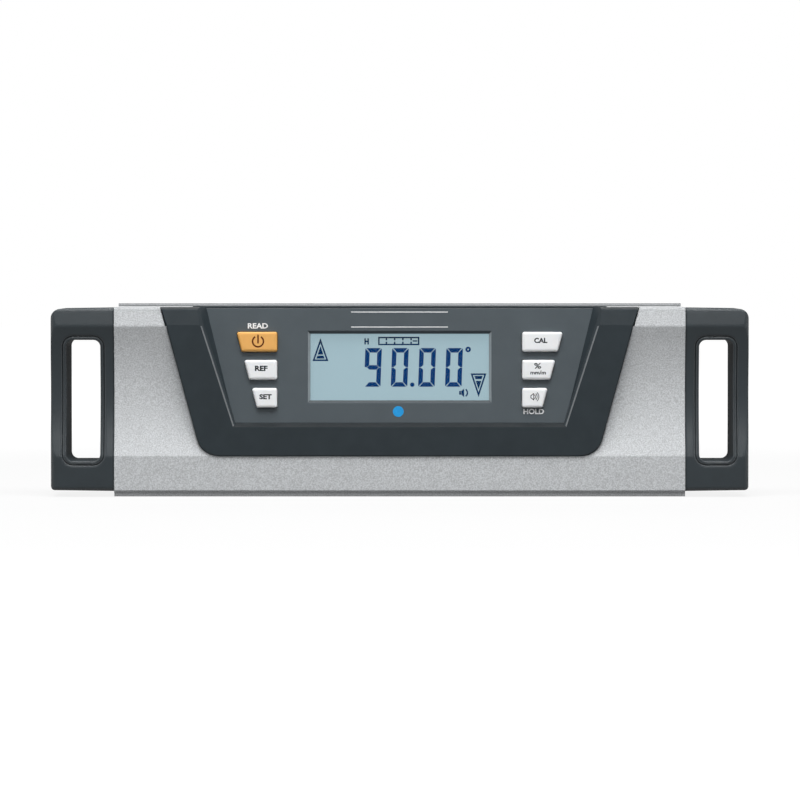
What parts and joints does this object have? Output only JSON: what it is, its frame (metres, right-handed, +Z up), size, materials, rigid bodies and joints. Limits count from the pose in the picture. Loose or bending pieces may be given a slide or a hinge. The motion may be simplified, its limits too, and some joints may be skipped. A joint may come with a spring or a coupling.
{
  "type": "digital angle gauge",
  "caption": "Compact electronic level: aluminium body with a measuring sole, tilted display and key panel, slotted end caps and a battery bay in the back.",
  "frame": {"origin": "centre of the bounding box on the sole plane", "axes": "+X along the body to the right seen from the front, +Y towards the back, +Z up from the sole"},
  "size_m": [0.225, 0.028, 0.062],
  "materials": {
    "satin_aluminium": "bead-blasted, clear anodised",
    "charcoal_plastic": "fine matte texture",
    "grey_plastic": "matte",
    "clear_window": "polished",
    "foam": "matte",
    "display_glass": "polished",
    "light_guide": "diffuse white",
    "contact_rubber": "matte",
    "white_plastic": "fine matte",
    "orange_plastic": "fine matte",
    "board": "solder mask",
    "steel": "zinc plated",
    "chip": "moulded",
    "shield": "tin plated",
    "cell_can": "printed sleeve on a metal can",
    "magnet": "nickel plated",
    "switch_plastic": "moulded"
  },
  "bodies": {
    "gauge_body": {"body_extrusion": "satin_aluminium", "left_end_cap": "charcoal_plastic", "right_end_cap": "charcoal_plastic", "cap_screws": "steel", "front_bezel": "charcoal_plastic", "control_panel": "grey_plastic", "display_window": "clear_window", "display_gasket": "foam", "lcd_cell": "display_glass", "light_guide": "light_guide", "upper_contact_strip": "contact_rubber", "lower_contact_strip": "contact_rubber", "display_holder": "white_plastic", "circuit_board": "board", "board_screws": "steel", "processor": "chip", "tilt_sensor": "shield", "radio_module": "shield", "buzzer": "chip", "battery_tray": "charcoal_plastic", "tray_screws": "steel", "upper_cell": "cell_can", "lower_cell": "cell_can", "upper_spring": "steel", "lower_spring": "steel", "negative_contact": "steel", "positive_contact": "steel", "series_contact": "steel", "sole_magnet_1": "magnet", "sole_magnet_2": "magnet", "sole_magnet_3": "magnet", "sole_magnet_4": "magnet", "power_switch": "switch_plastic", "reference_switch": "switch_plastic", "set_switch": "switch_plastic", "calibrate_switch": "switch_plastic", "unit_switch": "switch_plastic", "hold_switch": "switch_plastic"},
    "power_button": {"power_key": "orange_plastic", "power_plunger": "switch_plastic"},
    "reference_button": {"reference_key": "white_plastic", "reference_plunger": "switch_plastic"},
    "set_button": {"set_key": "white_plastic", "set_plunger": "switch_plastic"},
    "calibrate_button": {"calibrate_key": "white_plastic", "calibrate_plunger": "switch_plastic"},
    "unit_button": {"unit_key": "white_plastic", "unit_plunger": "switch_plastic"},
    "hold_button": {"hold_key": "white_plastic", "hold_plunger": "switch_plastic"},
    "door": {"battery_door": "charcoal_plastic"}
  },
  "joints": [
    {"name": "power_press", "type": "slide", "parent": "gauge_body", "child": "power_button", "axis": [0, 0.9969, -0.0785], "range_m": [0, 0.0005], "stiffness_N_per_m": 1200, "springref_m": -0.0008},
    {"name": "reference_press", "type": "slide", "parent": "gauge_body", "child": "reference_button", "axis": [0, 0.9969, -0.0785], "range_m": [0, 0.0005], "stiffness_N_per_m": 1200, "springref_m": -0.0008},
    {"name": "set_press", "type": "slide", "parent": "gauge_body", "child": "set_button", "axis": [0, 0.9969, -0.0785], "range_m": [0, 0.0005], "stiffness_N_per_m": 1200, "springref_m": -0.0008},
    {"name": "calibrate_press", "type": "slide", "parent": "gauge_body", "child": "calibrate_button", "axis": [0, 0.9969, -0.0785], "range_m": [0, 0.0005], "stiffness_N_per_m": 1200, "springref_m": -0.0008},
    {"name": "unit_press", "type": "slide", "parent": "gauge_body", "child": "unit_button", "axis": [0, 0.9969, -0.0785], "range_m": [0, 0.0005], "stiffness_N_per_m": 1200, "springref_m": -0.0008},
    {"name": "hold_press", "type": "slide", "parent": "gauge_body", "child": "hold_button", "axis": [0, 0.9969, -0.0785], "range_m": [0, 0.0005], "stiffness_N_per_m": 1200, "springref_m": -0.0008},
    {"name": "door_lift", "type": "slide", "parent": "gauge_body", "child": "door", "axis": [0, 1, 0], "range_m": [0, 0.03]}
  ]
}
